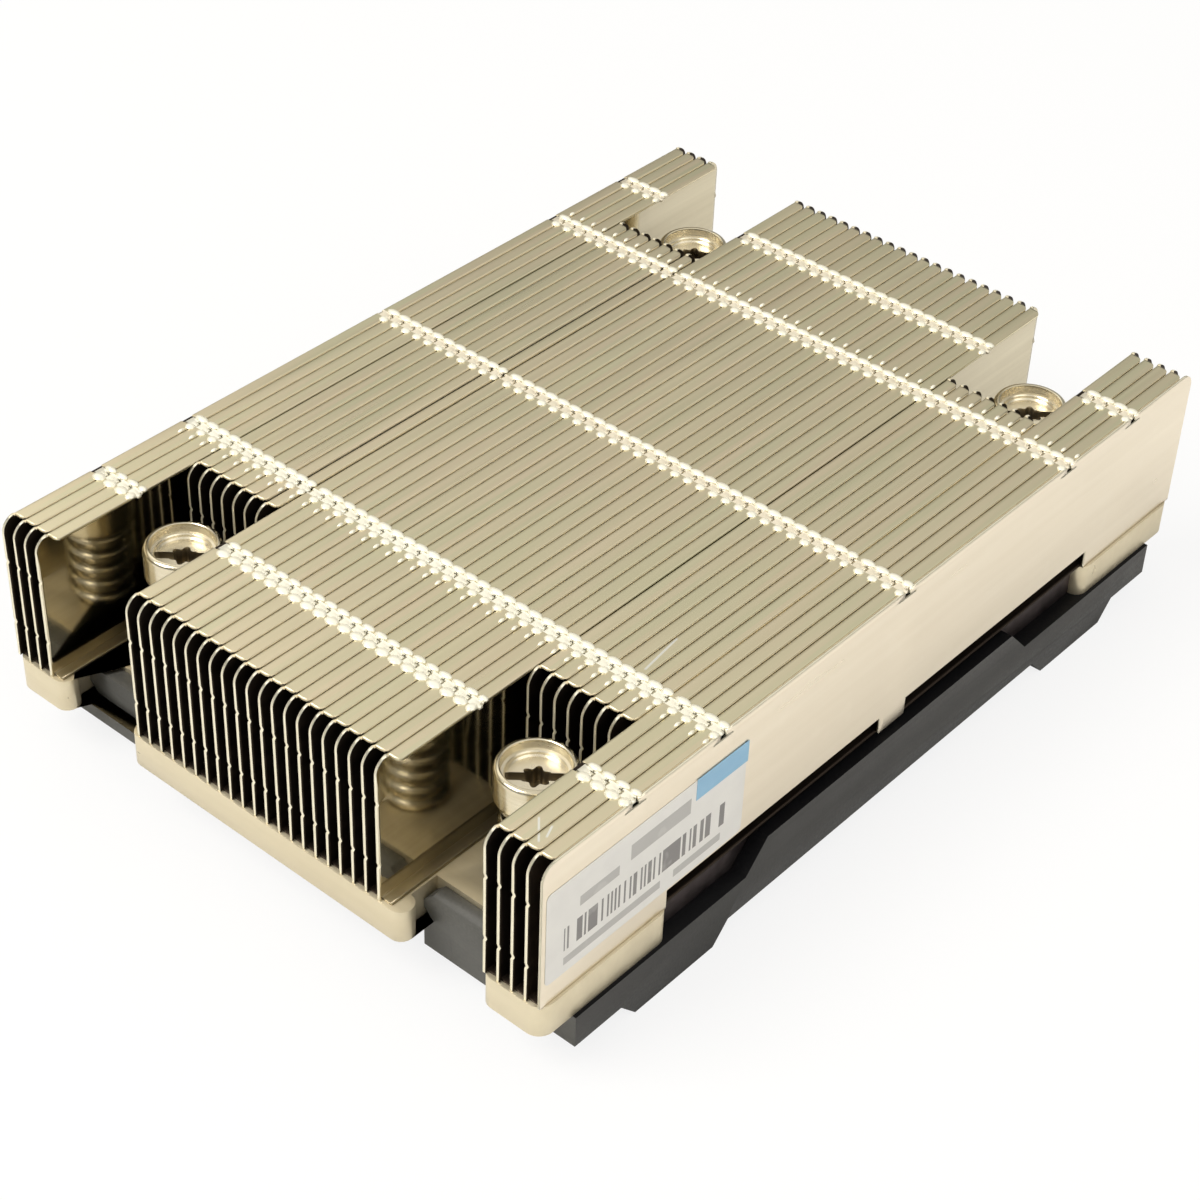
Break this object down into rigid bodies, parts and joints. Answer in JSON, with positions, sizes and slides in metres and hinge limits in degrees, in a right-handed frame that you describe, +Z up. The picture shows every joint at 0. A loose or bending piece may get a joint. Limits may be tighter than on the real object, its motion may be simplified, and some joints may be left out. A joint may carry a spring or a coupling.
{
  "type": "passive processor heatsink",
  "caption": "Low passive heatsink: folded fins on a plated base plate, captive spring screws in the corner bays and a moulded frame with feet below.",
  "frame": {"origin": "centre of the bounding box at the height of the feet", "axes": "+Z up from the feet to the fin tops, +Y along the fins towards the back, +X to the side that carries the plain side plate"},
  "size_m": [0.0862, 0.124, 0.0322],
  "materials": {
    "fin_sheet": "thin plated sheet, satin, warm champagne tint",
    "plated_base": "plated plate, satin, warm champagne tint",
    "frame_plastic": "dark grey moulded plastic, matt",
    "pad": "grey compound, matt",
    "label": "pale sticker with plain bars and a blue patch",
    "screw_metal": "turned and plated, bright",
    "spring_wire": "bright drawn wire",
    "clip_steel": "stamped spring steel"
  },
  "bodies": {
    "heatsink": {"fin_01": "fin_sheet", "fin_02": "fin_sheet", "fin_03": "fin_sheet", "fin_04": "fin_sheet", "fin_05": "fin_sheet", "fin_06": "fin_sheet", "fin_07": "fin_sheet", "fin_08": "fin_sheet", "fin_09": "fin_sheet", "fin_10": "fin_sheet", "fin_11": "fin_sheet", "fin_12": "fin_sheet", "fin_13": "fin_sheet", "fin_14": "fin_sheet", "fin_15": "fin_sheet", "fin_16": "fin_sheet", "fin_17": "fin_sheet", "fin_18": "fin_sheet", "fin_19": "fin_sheet", "fin_20": "fin_sheet", "fin_21": "fin_sheet", "fin_22": "fin_sheet", "fin_23": "fin_sheet", "fin_24": "fin_sheet", "fin_25": "fin_sheet", "fin_26": "fin_sheet", "fin_27": "fin_sheet", "fin_28": "fin_sheet", "fin_29": "fin_sheet", "fin_30": "fin_sheet", "fin_31": "fin_sheet", "fin_32": "fin_sheet", "fin_33": "fin_sheet", "fin_34": "fin_sheet", "fin_35": "fin_sheet", "fin_36": "fin_sheet", "fin_37": "fin_sheet", "fin_38": "fin_sheet", "fin_39": "fin_sheet", "fin_40": "fin_sheet", "fin_41": "fin_sheet", "fin_42": "fin_sheet", "fin_43": "fin_sheet", "side_plate": "fin_sheet", "base_plate": "plated_base", "frame": "frame_plastic", "thermal_pad": "pad", "side_label": "label", "spring_front_left": "spring_wire", "spring_front_right": "spring_wire", "spring_back_left": "spring_wire", "spring_back_right": "spring_wire"},
    "plunger_front_left": {"clip_front_left": "clip_steel"},
    "screw_front_left": {"screw_front_left": "screw_metal"},
    "plunger_front_right": {"clip_front_right": "clip_steel"},
    "screw_front_right": {"screw_front_right": "screw_metal"},
    "plunger_back_left": {"clip_back_left": "clip_steel"},
    "screw_back_left": {"screw_back_left": "screw_metal"},
    "plunger_back_right": {"clip_back_right": "clip_steel"},
    "screw_back_right": {"screw_back_right": "screw_metal"}
  },
  "joints": [
    {"name": "press_front_left", "type": "slide", "parent": "heatsink", "child": "plunger_front_left", "axis": [0, 0, -1], "range_m": [0, 0.0035], "stiffness_N_per_m": 4000, "springref_m": -0.002, "deforming": ["spring_front_left"]},
    {"name": "turn_front_left", "type": "hinge", "parent": "plunger_front_left", "child": "screw_front_left", "pos_m": [-0.028, -0.047, 0.0117], "axis": [0, 0, 1], "continuous": true},
    {"name": "press_front_right", "type": "slide", "parent": "heatsink", "child": "plunger_front_right", "axis": [0, 0, -1], "range_m": [0, 0.0035], "stiffness_N_per_m": 4000, "springref_m": -0.002, "deforming": ["spring_front_right"]},
    {"name": "turn_front_right", "type": "hinge", "parent": "plunger_front_right", "child": "screw_front_right", "pos_m": [0.028, -0.047, 0.0117], "axis": [0, 0, 1], "continuous": true},
    {"name": "press_back_left", "type": "slide", "parent": "heatsink", "child": "plunger_back_left", "axis": [0, 0, -1], "range_m": [0, 0.0035], "stiffness_N_per_m": 4000, "springref_m": -0.002, "deforming": ["spring_back_left"]},
    {"name": "turn_back_left", "type": "hinge", "parent": "plunger_back_left", "child": "screw_back_left", "pos_m": [-0.028, 0.047, 0.0117], "axis": [0, 0, 1], "continuous": true},
    {"name": "press_back_right", "type": "slide", "parent": "heatsink", "child": "plunger_back_right", "axis": [0, 0, -1], "range_m": [0, 0.0035], "stiffness_N_per_m": 4000, "springref_m": -0.002, "deforming": ["spring_back_right"]},
    {"name": "turn_back_right", "type": "hinge", "parent": "plunger_back_right", "child": "screw_back_right", "pos_m": [0.028, 0.047, 0.0117], "axis": [0, 0, 1], "continuous": true}
  ]
}
